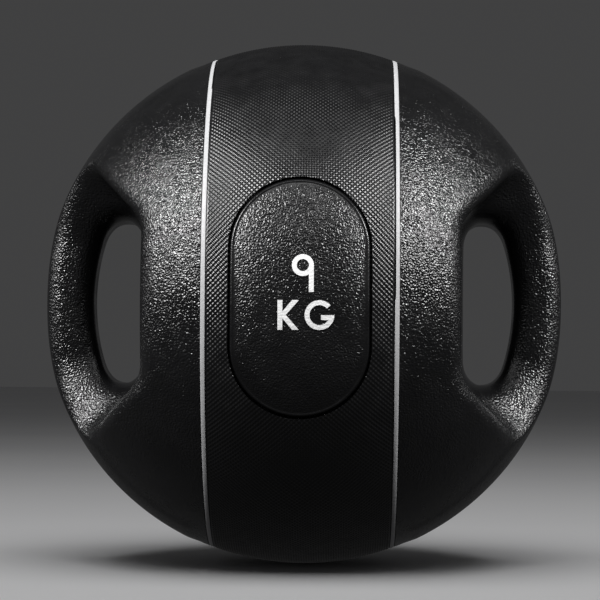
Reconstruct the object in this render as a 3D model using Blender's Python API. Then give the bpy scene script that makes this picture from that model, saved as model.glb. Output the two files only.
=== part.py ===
"""A 9 kg medicine ball with two moulded grips, as separate pieces.

Units are metres. +Z is up, the grips are on -X (left) and +X (right), and the front badge faces -Y.
The origin is the point on which the ball stands; everything is placed from the empty at the ball's centre.
"""

import math

import bmesh
import bpy
from mathutils import Matrix, Vector

# ---------------------------------------------------------------- driving dimensions
BALL_RADIUS = 0.140
GAP = 0.0003  # between two pieces that touch

# wall, from the outside in
COVER_THICKNESS = 0.008
BALLAST_THICKNESS = 0.0135
WINDING_THICKNESS = 0.0016
BLADDER_THICKNESS = 0.0022

# stripe rings, let into the joint between the centre band and the side covers
STRIPE_PLANE = 0.0481  # distance of the joint from the middle of the ball
STRIPE_WIDTH = 0.0029
STRIPE_DEPTH = 0.0025

# hand channels, cut through from front to back
CHANNEL_WALL = 0.081  # distance of the flat wall from the middle of the ball
CHANNEL_SLANT = 0.041  # x - z on the 45 degree walls
CHANNEL_FILLET = 0.012

# grip bars: a web across the channel with a slot through it, rounded on all its edges
GRIP_INNER = 0.1132  # radius of the slot's outer side
GRIP_OUTER = 0.1388  # radius of the bar's outer side at mid-height
GRIP_HALF_DEPTH = 0.019
GRIP_ROUNDING = 0.009
GRIP_FLARE = 0.016  # how much deeper each half gets towards the roots
GRIP_FLARE_START = math.radians(13)
GRIP_FLARE_END = math.radians(38)
GRIP_ROOT_ANGLE = math.radians(28)  # where the bar stands furthest out
GRIP_ROOT_RISE = 0.0026
GRIP_SINK_ANGLE = math.radians(44)  # past this the web is inside the cover
GRIP_SINK = 0.0074
WEB_BACK = 0.070  # how far in the web reaches, behind the channel's wall
WEB_BACK_HEIGHT = 0.075
SLOT_WALL = 0.0825
SLOT_END_HEIGHT = 0.0322  # height of the middle of the slot's round ends
CORE_RADIUS = 0.0055
CORE_ARC_RADIUS = 0.1252
CORE_END_ANGLE = math.radians(41)  # well inside the ball, where the cover's inner face trims it

# badges
BADGE_WIDTH = 0.069
BADGE_HEIGHT = 0.118
BADGE_GROOVE = 0.0012
BADGE_RECESS = 0.005
BADGE_SINK = 0.0005  # the plate's surface lies this far below the band's

# weight mark, on the front badge; places are from the badge's centre
MARK_RELIEF = 0.0006
MARK_SHIFT = 0.0015
NUMERAL_SIZE = (0.0219, 0.0186)
NUMERAL_CENTRE_Z = 0.0118
NUMERAL_STROKE = 0.0046
NUMERAL_CORNER = 0.0052
NUMERAL_EYE = (0.0113, 0.0036)
NUMERAL_EYE_CORNER = 0.0015
NUMERAL_SLOT = 0.0018  # height of the slot under the eye
LETTER_HEIGHT = 0.0146
LETTER_CENTRE_Z = -0.0088
LETTER_SPACE = 0.0012
LETTER_K_WIDTH = 0.0178
LETTER_K_STEM = 0.0046
LETTER_K_ARM = 0.0062  # width of the arms, along X
LETTER_K_NOTCH = 0.0020  # half height of the bridge between stem and arms
LETTER_K_BRIDGE = 0.0012
LETTER_G_WIDTH = 0.0186
LETTER_G_STROKE = 0.0042
LETTER_G_GAP = 0.0012  # height of the spaces above and below the crossbar
LETTER_G_BAR_TOP = 0.0008  # the crossbar's top, above the middle of the letter

# valve, in the middle of the rear badge
BOOT_RADIUS = 0.007
BOOT_BORE = 0.0026
BOOT_FLANGE_RADIUS = 0.012
BOOT_FLANGE_THICKNESS = 0.001
BOOT_STEP = 0.001  # the bore narrows by this much under the plug
BOOT_CHAMFER = 0.0008
PLUG_LENGTH = 0.014
PLUG_HOLE = 0.0008
PLUG_SINK = 0.0006
PLUG_DIMPLE = (0.0008, 0.0010)  # how much wider the hole is at its mouth, and how deep that goes
BLADDER_NECK_RADIUS = 0.005

# fineness of the surfaces
OUTER_STEPS = 40
INNER_STEPS = 28
ROD_STEPS = 20
PLUG_STEPS = 16
STADIUM_CORNER_STEPS = 6
REACH = 0.2  # further out than any part of the ball
HOLLOW = 0.1  # further in than any wall, at the front and the back
PAST_MIDDLE = 0.02  # how far a hollow's cutter runs past the middle of the ball
MERGE = 1e-6

# radii of the layers' surfaces
COVER_INSIDE = BALL_RADIUS - COVER_THICKNESS
BALLAST_OUTSIDE = COVER_INSIDE - GAP
BALLAST_INSIDE = BALLAST_OUTSIDE - BALLAST_THICKNESS
WINDING_OUTSIDE = BALLAST_INSIDE - GAP
WINDING_INSIDE = WINDING_OUTSIDE - WINDING_THICKNESS
BLADDER_OUTSIDE = WINDING_INSIDE - GAP
BLADDER_INSIDE = BLADDER_OUTSIDE - BLADDER_THICKNESS
BOOT_FOOT = BLADDER_OUTSIDE + GAP
BOOT_FLANGE_TOP = BOOT_FOOT + BOOT_FLANGE_THICKNESS

LEFT, RIGHT = -1, 1
FRONT, REAR = -1, 1
SIDES = {"left": LEFT, "right": RIGHT}


# ---------------------------------------------------------------- scene and materials
def clear_scene():
    for old in list(bpy.data.objects):
        bpy.data.objects.remove(old, do_unlink=True)


def material(name, colour, roughness, metallic=0.0):
    made = bpy.data.materials.new(name)
    made.use_nodes = True
    shader = made.node_tree.nodes["Principled BSDF"]
    shader.inputs["Base Color"].default_value = (*colour, 1.0)
    shader.inputs["Roughness"].default_value = roughness
    shader.inputs["Metallic"].default_value = metallic
    return made


def centre_empty():
    empty = bpy.data.objects.new("ball_centre", None)
    empty.location = (0, 0, BALL_RADIUS)
    bpy.context.collection.objects.link(empty)
    return empty


def add_piece(name, bm, look):
    """Turns a bmesh into an object under the ball's centre."""
    bmesh.ops.recalc_face_normals(bm, faces=bm.faces)
    mesh = bpy.data.meshes.new(name)
    bm.to_mesh(mesh)
    bm.free()
    mesh.shade_smooth()
    mesh.set_sharp_from_angle(angle=math.radians(30))
    piece = bpy.data.objects.new(name, mesh)
    piece.parent = CENTRE
    if look:
        mesh.materials.append(look)
    bpy.context.collection.objects.link(piece)
    return piece


def add_cutter(name, bm):
    cutter = add_piece(name, bm, None)
    cutter.hide_render = True
    cutter.display_type = "WIRE"
    return cutter


def combine(piece, operation, other):
    boolean = piece.modifiers.new(f"{operation.lower()}_{other.name}", "BOOLEAN")
    boolean.operation = operation
    boolean.object = other
    boolean.solver = "EXACT"


# ---------------------------------------------------------------- shapes
def polar(radius, angle):
    return radius * math.cos(angle), radius * math.sin(angle)


def arc(radius, start, end, steps):
    """Points (x, r) on a ball of this radius between two angles from +X, on the shared ring angles."""
    ring = math.tau / steps
    first, last = min(start, end), max(start, end)
    angles = [first] + [i * ring for i in range(steps) if first + MERGE < i * ring < last - MERGE] + [last]
    if start > end:
        angles.reverse()
    return [polar(radius, a) for a in angles]


def plane_angle(radius, x):
    """The angle from the +X axis at which a ball of this radius meets the plane at x."""
    return math.acos(x / radius)


def turned(profile, steps, side=RIGHT):
    """A solid of revolution about X from its half outline, open along the axis or closed off it."""
    bm = bmesh.new()
    verts = [bm.verts.new((side * x, 0, r)) for x, r in profile]
    edges = [bm.edges.new(pair) for pair in zip(verts, verts[1:])]
    if profile[0][1] > MERGE:
        edges.append(bm.edges.new((verts[-1], verts[0])))
    bmesh.ops.spin(bm, geom=verts + edges, axis=(1, 0, 0), angle=math.tau, steps=steps)
    bmesh.ops.remove_doubles(bm, verts=bm.verts, dist=MERGE)
    return bm


def turned_about_y(profile, steps=ROD_STEPS):
    """The same about the Y axis, from (y, r) points that don't touch the axis."""
    bm = bmesh.new()
    verts = [bm.verts.new((0, y, r)) for y, r in profile]
    edges = [bm.edges.new(pair) for pair in zip(verts, verts[1:] + verts[:1])]
    bmesh.ops.spin(bm, geom=verts + edges, axis=(0, 1, 0), angle=math.tau, steps=steps)
    bmesh.ops.remove_doubles(bm, verts=bm.verts, dist=MERGE)
    return bm


def prism(outline, start, end):
    """An outline of (x, z) points, pulled along Y."""
    bm = bmesh.new()
    face = bm.faces.new([bm.verts.new((x, start, z)) for x, z in outline])
    pulled = bmesh.ops.extrude_face_region(bm, geom=[face])["geom"]
    moved = [v for v in pulled if isinstance(v, bmesh.types.BMVert)]
    bmesh.ops.translate(bm, verts=moved, vec=(0, end - start, 0))
    return bm


def rod_along_y(radius, start, end):
    bm = bmesh.new()
    turn = Matrix.Rotation(math.pi / 2, 4, "X")
    place = Matrix.Translation((0, (start + end) / 2, 0)) @ turn
    size = {"radius1": radius, "radius2": radius, "depth": end - start}
    bmesh.ops.create_cone(bm, cap_ends=True, segments=ROD_STEPS, matrix=place, **size)
    return bm


def rounded_box_outline(width, height, radius, centre=(0, 0), corner_steps=3):
    """A rectangle with round corners; a radius of half the width makes a stadium."""
    points = []
    for quarter, (sx, sz) in enumerate(((1, 1), (-1, 1), (-1, -1), (1, -1))):
        cx = centre[0] + sx * (width / 2 - radius)
        cz = centre[1] + sz * (height / 2 - radius)
        for i in range(corner_steps + 1):
            a = math.pi / 2 * (quarter + i / corner_steps)
            point = (cx + radius * math.cos(a), cz + radius * math.sin(a))
            if not points or math.dist(points[-1], point) > MERGE:
                points.append(point)
    if math.dist(points[0], points[-1]) < MERGE:
        points.pop()
    return points


def channel_outline(side, inset):
    """The hand channel from the front; inset moves its walls into the ball, for the layers behind them."""
    cx = CHANNEL_WALL + CHANNEL_FILLET
    cz = cx - CHANNEL_SLANT - CHANNEL_FILLET * math.sqrt(2)
    radius = CHANNEL_FILLET + inset
    slant = CHANNEL_SLANT - inset * math.sqrt(2)
    steps = 3
    upper = [(REACH, REACH - slant)]
    for i in range(steps + 1):
        a = math.radians(135) + math.radians(45) * i / steps
        upper.append((cx + radius * math.cos(a), cz + radius * math.sin(a)))
    lower = [(x, -z) for x, z in reversed(upper)]
    return [(side * x, z) for x, z in upper + lower]


def add_channel(side, inset, name):
    return add_cutter(name, prism(channel_outline(side, inset), -REACH, REACH))


def blend(t):
    """A smooth step from 0 to 1."""
    t = min(max(t, 0.0), 1.0)
    return t * t * (3 - 2 * t)


def grip_outer_radius(angle):
    """The bar's outer side follows the ball, a little proud at the roots, then dives into the cover."""
    to_root = blend(abs(angle) / GRIP_ROOT_ANGLE)
    past_root = blend((abs(angle) - GRIP_ROOT_ANGLE) / (GRIP_SINK_ANGLE - GRIP_ROOT_ANGLE))
    return GRIP_OUTER + GRIP_ROOT_RISE * to_root - GRIP_SINK * past_root


def grip_outline(side):
    """The web from the front, the slot's side included, which opens towards the middle of the ball."""
    outer_steps, end_steps, inner_steps = 20, 6, 4
    points = [(WEB_BACK, -WEB_BACK_HEIGHT)]
    for i in range(outer_steps + 1):
        angle = GRIP_SINK_ANGLE * (2 * i / outer_steps - 1)
        points.append(polar(grip_outer_radius(angle), angle))
    points += [(WEB_BACK, WEB_BACK_HEIGHT), (WEB_BACK, SLOT_END_HEIGHT)]
    end_angle = math.asin(SLOT_END_HEIGHT / GRIP_INNER)
    radius = (GRIP_INNER * math.cos(end_angle) - SLOT_WALL) / 2
    upper = []
    for i in range(end_steps + 1):
        a = math.pi * (1 - i / end_steps)
        upper.append((SLOT_WALL + radius + radius * math.cos(a), SLOT_END_HEIGHT + radius * math.sin(a)))
    side_arc = [polar(GRIP_INNER, end_angle * (1 - 2 * i / inner_steps)) for i in range(1, inner_steps)]
    points += upper + side_arc + [(x, -z) for x, z in reversed(upper)]
    points.append((WEB_BACK, -SLOT_END_HEIGHT))
    return [(side * x, z) for x, z in points]


def swept(side, stations, sides_round):
    """A bar through oval sections: each station is (angle, centre radius, half thickness, half depth)."""
    bm = bmesh.new()
    rings = []
    for angle, radius, half_thickness, half_depth in stations:
        outward = Vector((side * math.cos(angle), 0, math.sin(angle)))
        ring = []
        for i in range(sides_round):
            u = math.tau * i / sides_round
            offset = outward * (half_thickness * math.cos(u)) + Vector((0, half_depth * math.sin(u), 0))
            ring.append(bm.verts.new(outward * radius + offset))
        rings.append(ring)
    for ring, following in zip(rings, rings[1:]):
        for i in range(sides_round):
            j = (i + 1) % sides_round
            bm.faces.new((ring[i], ring[j], following[j], following[i]))
    bm.faces.new(rings[0])
    bm.faces.new(rings[-1])
    return bm


def grip_widening(point):
    """How many times deeper the web is at this point than at mid-height."""
    angle = math.atan2(abs(point.z), abs(point.x))
    share = blend((angle - GRIP_FLARE_START) / (GRIP_FLARE_END - GRIP_FLARE_START))
    return 1 + GRIP_FLARE / GRIP_HALF_DEPTH * share


def add_grip(prefix):
    """The grip's web, with its front and back edges rounded except where it is buried in the cover."""
    bm = prism(grip_outline(SIDES[prefix]), -GRIP_HALF_DEPTH, GRIP_HALF_DEPTH)
    rims = []
    for edge in bm.edges:
        start, end = (v.co for v in edge.verts)
        if abs(start.y - end.y) < MERGE and min(abs(start.x), abs(end.x)) > WEB_BACK + MERGE:
            rims.append(edge)
    bmesh.ops.bevel(
        bm, geom=rims, offset=GRIP_ROUNDING, segments=3, profile=0.5, affect="EDGES", clamp_overlap=False
    )
    bmesh.ops.triangulate(bm, faces=bm.faces)
    for vert in bm.verts:
        vert.co.y *= grip_widening(vert.co)
    return add_cutter(f"{prefix}_grip", bm)


def core_rod(side, radius):
    count = 12
    angles = [CORE_END_ANGLE * (2 * i / count - 1) for i in range(count + 1)]
    return swept(side, [(a, CORE_ARC_RADIUS, radius, radius) for a in angles], 10)


def half_ball(radius, start_x, steps, side):
    """The part of a ball beyond the plane at start_x, as a solid."""
    edge = arc(radius, plane_angle(radius, start_x), 0, steps)
    return turned([(start_x, 0), *edge], steps, side)


def full_ball(radius, steps):
    return turned(arc(radius, math.pi, 0, steps), steps)


def shell_band(inside, outside, half_width, steps):
    """The ring of a ball's wall between two planes the same distance either side of the middle."""
    outer_edge = plane_angle(outside, half_width)
    inner_edge = plane_angle(inside, half_width)
    outer = arc(outside, math.pi - outer_edge, outer_edge, steps)
    inner = arc(inside, inner_edge, math.pi - inner_edge, steps)
    return turned(outer + inner, steps)


# ---------------------------------------------------------------- cover pieces
def stripe_step(x_joint, x_edge):
    """The rebate for half of the stripe ring: points from the surface down and across to the joint."""
    floor = BALL_RADIUS - STRIPE_DEPTH - GAP
    return [
        polar(BALL_RADIUS, plane_angle(BALL_RADIUS, x_edge)),
        polar(floor, plane_angle(floor, x_edge)),
        polar(floor, plane_angle(floor, x_joint)),
        polar(COVER_INSIDE, plane_angle(COVER_INSIDE, x_joint)),
    ]


def badge_outline(margin):
    """The stadium of a badge, or of its recess, which is larger by the margin all round."""
    width, height = BADGE_WIDTH + 2 * margin, BADGE_HEIGHT + 2 * margin
    return rounded_box_outline(width, height, width / 2, corner_steps=STADIUM_CORNER_STEPS)


def make_centre_band(look):
    joint = STRIPE_PLANE - GAP / 2
    edge = STRIPE_PLANE - STRIPE_WIDTH / 2
    right_step = stripe_step(joint, edge)
    left_step = [(-x, r) for x, r in reversed(right_step)]
    outer_angle = plane_angle(BALL_RADIUS, edge)
    inner_angle = plane_angle(COVER_INSIDE, joint)
    outer = arc(BALL_RADIUS, math.pi - outer_angle, outer_angle, OUTER_STEPS)[1:-1]
    inner = arc(COVER_INSIDE, inner_angle, math.pi - inner_angle, OUTER_STEPS)[1:-1]
    band = add_piece("centre_band", turned(left_step + outer + right_step + inner, OUTER_STEPS), look)
    outline = badge_outline(BADGE_GROOVE)
    floor = full_ball(BALL_RADIUS - BADGE_RECESS, OUTER_STEPS)
    floor_cutter = add_cutter("recess_floor", floor)
    for face, name in ((FRONT, "front_recess"), (REAR, "rear_recess")):
        recess = add_cutter(name, prism(outline, *sorted((face * HOLLOW, face * REACH))))
        combine(recess, "DIFFERENCE", floor_cutter)
        combine(band, "DIFFERENCE", recess)
    combine(band, "DIFFERENCE", add_cutter("boot_hole", rod_along_y(BOOT_RADIUS + GAP, HOLLOW, REACH)))
    return band


def make_side_cover(prefix, look):
    side = SIDES[prefix]
    joint = STRIPE_PLANE + GAP / 2
    edge = STRIPE_PLANE + STRIPE_WIDTH / 2
    step = stripe_step(joint, edge)[::-1]
    surface = arc(BALL_RADIUS, plane_angle(BALL_RADIUS, edge), 0, OUTER_STEPS)[1:]
    cover = add_piece(
        f"{prefix}_side_cover", turned([(joint, 0), *step, *surface], OUTER_STEPS, side), look
    )
    hollow = half_ball(COVER_INSIDE, STRIPE_PLANE / 2, OUTER_STEPS, side)
    inside = add_cutter(f"{prefix}_cover_inside", hollow)
    combine(inside, "DIFFERENCE", add_channel(side, COVER_THICKNESS, f"{prefix}_channel_back"))
    combine(cover, "DIFFERENCE", add_channel(side, 0, f"{prefix}_channel"))
    combine(cover, "UNION", add_grip(prefix))
    combine(cover, "DIFFERENCE", inside)
    tunnel = add_cutter(f"{prefix}_core_tunnel", core_rod(side, CORE_RADIUS + GAP))
    combine(cover, "DIFFERENCE", tunnel)
    return cover


def make_stripe_ring(prefix, look):
    half = STRIPE_WIDTH / 2 - GAP
    inside = BALL_RADIUS - STRIPE_DEPTH
    profile = [
        polar(radius, plane_angle(radius, x))
        for radius, x in (
            (BALL_RADIUS, STRIPE_PLANE - half),
            (BALL_RADIUS, STRIPE_PLANE + half),
            (inside, STRIPE_PLANE + half),
            (inside, STRIPE_PLANE - half),
        )
    ]
    return add_piece(f"{prefix}_stripe_ring", turned(profile, OUTER_STEPS, SIDES[prefix]), look)


# ---------------------------------------------------------------- badges and weight mark
def make_badge(name, face, look):
    badge = add_piece(name, prism(badge_outline(0), *sorted((face * HOLLOW, face * REACH))), look)
    inside = BALL_RADIUS - BADGE_RECESS + GAP
    shell = shell_band(inside, BALL_RADIUS - BADGE_SINK, STRIPE_PLANE, OUTER_STEPS)
    combine(badge, "INTERSECT", add_cutter(f"{name}_thickness", shell))
    if face == REAR:
        boot_hole = rod_along_y(BOOT_RADIUS + GAP, HOLLOW, REACH)
        combine(badge, "DIFFERENCE", add_cutter("badge_boot_hole", boot_hole))
    return badge


def make_mark(name, outline, look, thickness, removed=()):
    mark = add_piece(name, prism(outline, -REACH, -HOLLOW), look)
    for number, hole in enumerate(removed):
        space = prism(hole, -REACH - GAP, GAP - HOLLOW)
        combine(mark, "DIFFERENCE", add_cutter(f"{name}_space_{number}", space))
    combine(mark, "INTERSECT", thickness)
    return mark


def box_outline(left, right, low, high):
    return [(left, low), (right, low), (right, high), (left, high)]


def make_numeral(look, thickness):
    """A 9: a rounded block with a round-ended eye, and a slot that opens to the left under it."""
    width, height = NUMERAL_SIZE
    low, high = NUMERAL_CENTRE_Z - height / 2, NUMERAL_CENTRE_Z + height / 2
    eye_width, eye_height = NUMERAL_EYE
    eye_centre = (MARK_SHIFT, high - NUMERAL_STROKE - eye_height / 2 + GAP)
    slot_low = low + NUMERAL_STROKE
    block = rounded_box_outline(width, height, NUMERAL_CORNER, (MARK_SHIFT, NUMERAL_CENTRE_Z))
    eye = rounded_box_outline(eye_width, eye_height, NUMERAL_EYE_CORNER, eye_centre)
    slot = box_outline(MARK_SHIFT - width, MARK_SHIFT + eye_width / 2, slot_low, slot_low + NUMERAL_SLOT)
    make_mark("weight_numeral", block, look, thickness, (eye, slot))


def letter_box(first):
    """Left, right, low and high of the first or the second letter."""
    total = LETTER_K_WIDTH + LETTER_SPACE + LETTER_G_WIDTH
    low, high = LETTER_CENTRE_Z - LETTER_HEIGHT / 2, LETTER_CENTRE_Z + LETTER_HEIGHT / 2
    if first:
        left = MARK_SHIFT - total / 2
        return left, left + LETTER_K_WIDTH, low, high
    right = MARK_SHIFT + total / 2
    return right - LETTER_G_WIDTH, right, low, high


def make_letter_k(look, thickness):
    """A K: an upright and two arms that leave it at mid-height."""
    left, right, low, high = letter_box(first=True)
    stem = left + LETTER_K_STEM
    bridge = stem + LETTER_K_BRIDGE
    bridge_low, bridge_high = LETTER_CENTRE_Z - LETTER_K_NOTCH, LETTER_CENTRE_Z + LETTER_K_NOTCH
    outline = [
        (left, low),
        (stem, low),
        (stem, bridge_low),
        (bridge, bridge_low),
        (right - LETTER_K_ARM, low),
        (right, low),
        (stem + LETTER_K_ARM, LETTER_CENTRE_Z),
        (right, high),
        (right - LETTER_K_ARM, high),
        (bridge, bridge_high),
        (stem, bridge_high),
        (stem, high),
        (left, high),
    ]
    make_mark("weight_letter_k", outline, look, thickness)


def make_letter_g(look, thickness):
    """A G: a rounded block with a space inside, open to the right above the crossbar."""
    left, right, low, high = letter_box(first=False)
    middle = (left + right) / 2
    stroke = LETTER_G_STROKE
    block = rounded_box_outline(LETTER_G_WIDTH, LETTER_HEIGHT, stroke, (middle, LETTER_CENTRE_Z))
    bar_low = low + stroke + LETTER_G_GAP
    bar_high = LETTER_CENTRE_Z + LETTER_G_BAR_TOP
    space = [
        (left + stroke, low + stroke),
        (right - stroke, low + stroke),
        (right - stroke, bar_low),
        (middle, bar_low),
        (middle, bar_high),
        (right + stroke, bar_high),
        (right + stroke, bar_high + LETTER_G_GAP),
        (right - stroke, bar_high + LETTER_G_GAP),
        (right - stroke, high - stroke),
        (left + stroke, high - stroke),
    ]
    make_mark("weight_letter_g", block, look, thickness, (space,))


def make_weight_mark(look):
    base = BALL_RADIUS - BADGE_SINK + GAP
    shell = shell_band(base, base + MARK_RELIEF, STRIPE_PLANE / 2, OUTER_STEPS)
    thickness = add_cutter("mark_thickness", shell)
    make_numeral(look, thickness)
    make_letter_k(look, thickness)
    make_letter_g(look, thickness)


# ---------------------------------------------------------------- inner layers
def channelled_ball(name, radius, inset, steps):
    """A ball with both hand channels cut into it, as a cutter for the hollow of a layer."""
    ball = add_cutter(name, full_ball(radius, steps))
    for prefix, side in SIDES.items():
        combine(ball, "DIFFERENCE", add_channel(side, inset, f"{name}_{prefix}_channel"))
    return ball


def make_ballast_half(prefix, look, boot_holes):
    side = SIDES[prefix]
    depth = BALL_RADIUS - BALLAST_OUTSIDE
    ball = half_ball(BALLAST_OUTSIDE, GAP / 2, OUTER_STEPS, side)
    half = add_piece(f"{prefix}_ballast_shell", ball, look)
    combine(half, "DIFFERENCE", add_channel(side, depth, f"{prefix}_ballast_channel"))
    hollow_depth = BALL_RADIUS - BALLAST_INSIDE
    hollow = add_cutter(
        f"{prefix}_ballast_hollow", half_ball(BALLAST_INSIDE, -PAST_MIDDLE, INNER_STEPS, side)
    )
    combine(hollow, "DIFFERENCE", add_channel(side, hollow_depth, f"{prefix}_ballast_hollow_channel"))
    for cutter in (hollow, *boot_holes):
        combine(half, "DIFFERENCE", cutter)


def make_layer(name, outside, inside, hole, look):
    """A closed layer around the air, with one hole at the back for the valve."""
    layer = add_piece(name, full_ball(outside, INNER_STEPS), look)
    for prefix, side in SIDES.items():
        combine(layer, "DIFFERENCE", add_channel(side, BALL_RADIUS - outside, f"{name}_{prefix}_channel"))
    hollow = channelled_ball(f"{name}_hollow", inside, BALL_RADIUS - inside, INNER_STEPS)
    combine(layer, "DIFFERENCE", hollow)
    combine(layer, "DIFFERENCE", add_cutter(f"{name}_hole", rod_along_y(hole, HOLLOW, REACH)))


def make_grip_core(prefix, look):
    side = SIDES[prefix]
    core = add_piece(f"{prefix}_grip_core", core_rod(side, CORE_RADIUS), look)
    seat = add_cutter(f"{prefix}_core_seat", half_ball(COVER_INSIDE, STRIPE_PLANE / 2, OUTER_STEPS, side))
    combine(seat, "DIFFERENCE", add_channel(side, COVER_THICKNESS, f"{prefix}_core_seat_channel"))
    combine(core, "DIFFERENCE", seat)


# ---------------------------------------------------------------- valve
def make_valve(rubber, plug_look):
    face = BALL_RADIUS - BADGE_SINK
    bore_step = face - PLUG_LENGTH
    boot = [
        (BOOT_FOOT, BOOT_BORE - BOOT_STEP),
        (BOOT_FOOT, BOOT_FLANGE_RADIUS),
        (BOOT_FLANGE_TOP, BOOT_FLANGE_RADIUS),
        (BOOT_FLANGE_TOP, BOOT_RADIUS),
        (face - BOOT_CHAMFER, BOOT_RADIUS),
        (face, BOOT_RADIUS - BOOT_CHAMFER),
        (face, BOOT_BORE),
        (bore_step, BOOT_BORE),
        (bore_step, BOOT_BORE - BOOT_STEP),
    ]
    add_piece("valve_boot", turned_about_y(boot), rubber)
    plug_radius = BOOT_BORE - GAP
    plug_face = face - PLUG_SINK
    dimple_widening, dimple_depth = PLUG_DIMPLE
    plug = [
        (bore_step + GAP, PLUG_HOLE),
        (bore_step + GAP, plug_radius),
        (plug_face, plug_radius),
        (plug_face, PLUG_HOLE + dimple_widening),
        (plug_face - dimple_depth, PLUG_HOLE),
    ]
    add_piece("valve_plug", turned_about_y(plug, PLUG_STEPS), plug_look)


# ---------------------------------------------------------------- the ball
def main():
    band_rubber = material("band_rubber", (0.018, 0.018, 0.019), 0.45)
    cover_rubber = material("cover_rubber", (0.014, 0.014, 0.015), 0.35)
    badge_rubber = material("badge_rubber", (0.014, 0.014, 0.015), 0.40)
    stripe_paint = material("stripe_paint", (0.62, 0.62, 0.63), 0.45)
    mark_paint = material("mark_paint", (0.85, 0.85, 0.85), 0.55)
    ballast_rubber = material("ballast_rubber", (0.06, 0.045, 0.035), 0.8)
    nylon = material("nylon_winding", (0.75, 0.72, 0.62), 0.7)
    butyl = material("butyl", (0.03, 0.03, 0.035), 0.5)
    core_nylon = material("core_nylon", (0.6, 0.6, 0.55), 0.5)
    valve_rubber = material("valve_rubber", (0.05, 0.05, 0.05), 0.6)
    plug_rubber = material("plug_rubber", (0.30, 0.30, 0.30), 0.6)

    make_centre_band(band_rubber)
    make_badge("front_badge", FRONT, badge_rubber)
    make_badge("rear_badge", REAR, badge_rubber)
    make_weight_mark(mark_paint)
    flange_seat = rod_along_y(BOOT_FLANGE_RADIUS + GAP, HOLLOW, BOOT_FLANGE_TOP + GAP)
    boot_holes = (
        add_cutter("ballast_boot_hole", rod_along_y(BOOT_RADIUS + GAP, HOLLOW, REACH)),
        add_cutter("ballast_flange_seat", flange_seat),
    )
    for prefix in SIDES:
        make_side_cover(prefix, cover_rubber)
        make_stripe_ring(prefix, stripe_paint)
        make_ballast_half(prefix, ballast_rubber, boot_holes)
        make_grip_core(prefix, core_nylon)
    make_layer("winding_layer", WINDING_OUTSIDE, WINDING_INSIDE, BOOT_FLANGE_RADIUS + GAP, nylon)
    make_layer("air_bladder", BLADDER_OUTSIDE, BLADDER_INSIDE, BLADDER_NECK_RADIUS, butyl)
    make_valve(valve_rubber, plug_rubber)


clear_scene()
CENTRE = centre_empty()
main()
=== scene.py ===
"""The looks of the 9 kg medicine ball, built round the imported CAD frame.

Units are metres and places are in the frame's axes: +Z is up, the grips are on -X and +X, the front badge faces -Y.
Every shape is worked out round the ball's centre and then lifted to its place.
"""

import math

import bmesh
import bpy
import numpy as np
from mathutils import Matrix, Vector


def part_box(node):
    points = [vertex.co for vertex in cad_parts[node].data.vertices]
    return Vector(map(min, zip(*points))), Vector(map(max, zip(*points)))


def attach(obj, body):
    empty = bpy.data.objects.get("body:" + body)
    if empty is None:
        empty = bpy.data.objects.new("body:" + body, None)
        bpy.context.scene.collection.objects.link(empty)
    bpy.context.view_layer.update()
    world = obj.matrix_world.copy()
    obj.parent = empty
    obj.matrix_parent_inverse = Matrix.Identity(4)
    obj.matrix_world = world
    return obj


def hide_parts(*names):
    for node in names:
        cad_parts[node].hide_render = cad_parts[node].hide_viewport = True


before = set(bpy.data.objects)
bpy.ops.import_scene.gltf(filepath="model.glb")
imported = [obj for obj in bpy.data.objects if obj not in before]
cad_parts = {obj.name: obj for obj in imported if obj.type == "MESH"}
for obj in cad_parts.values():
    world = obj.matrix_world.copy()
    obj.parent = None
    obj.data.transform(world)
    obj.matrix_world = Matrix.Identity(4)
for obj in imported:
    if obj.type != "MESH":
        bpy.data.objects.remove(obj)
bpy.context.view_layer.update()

# ---------------------------------------------------------------- sizes read from the frame
band_low, band_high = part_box("centre_band")
stripe_low, stripe_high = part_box("right_stripe_ring")
badge_low, badge_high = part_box("front_badge")
boot_low, boot_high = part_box("valve_boot")
plug_low, plug_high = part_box("valve_plug")

RADIUS = (band_high.z - band_low.z) / 2
CENTRE = Vector((0, 0, (band_high.z + band_low.z) / 2))
STRIPE_PLANE = (stripe_high.x + stripe_low.x) / 2
STRIPE_HALF_WIDTH = (stripe_high.x - stripe_low.x) / 2
BADGE_HALF_WIDTH = (badge_high.x - badge_low.x) / 2
BADGE_SPINE = (badge_high.z - badge_low.z) / 2 - BADGE_HALF_WIDTH  # half length of the straight sides

# ---------------------------------------------------------------- sizes shared with the design
GAP = 0.0003
COVER_INSIDE = RADIUS - 0.008
STRIPE_DEPTH = 0.0025
BADGE_GROOVE = 0.0012
BADGE_RECESS = 0.005
BADGE_SINK = 0.0005

CHANNEL_WALL = 0.081
CHANNEL_SLANT = 0.041  # x - z on the 45 degree walls
GRIP_INNER = 0.1132
GRIP_OUTER = 0.1388
GRIP_HALF_DEPTH = 0.019
GRIP_FLARE = 0.016  # how much deeper each half gets at the roots
GRIP_FLARE_ANGLES = (math.radians(13), math.radians(38))
GRIP_ROOT_ANGLE = math.radians(28)
GRIP_ROOT_RISE = 0.0022
GRIP_SINK_ANGLE = math.radians(44)
GRIP_SINK = 0.0084
WEB_BACK = 0.070
SLOT_WALL = 0.0825
SLOT_TOP = 0.0456  # half height of the slot
SLOT_END_BLEND = 0.0125
CORE_TUNNEL = 0.0058
CORE_ARC_RADIUS = 0.1252
CORE_END_ANGLE = math.radians(41)

# how far the creases of the side covers are rounded, and the grids they are found on
CHANNEL_BLEND = 0.0050
RIM_BLEND = 0.0075
GRIP_BLEND = 0.0125
ROOT_BLEND = 0.0160
ROOT_BULGE = 0.0006  # the blend may stand this far out of the ball
COVER_GRID = 0.0013
HOLLOW_GRID = 0.0028

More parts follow.
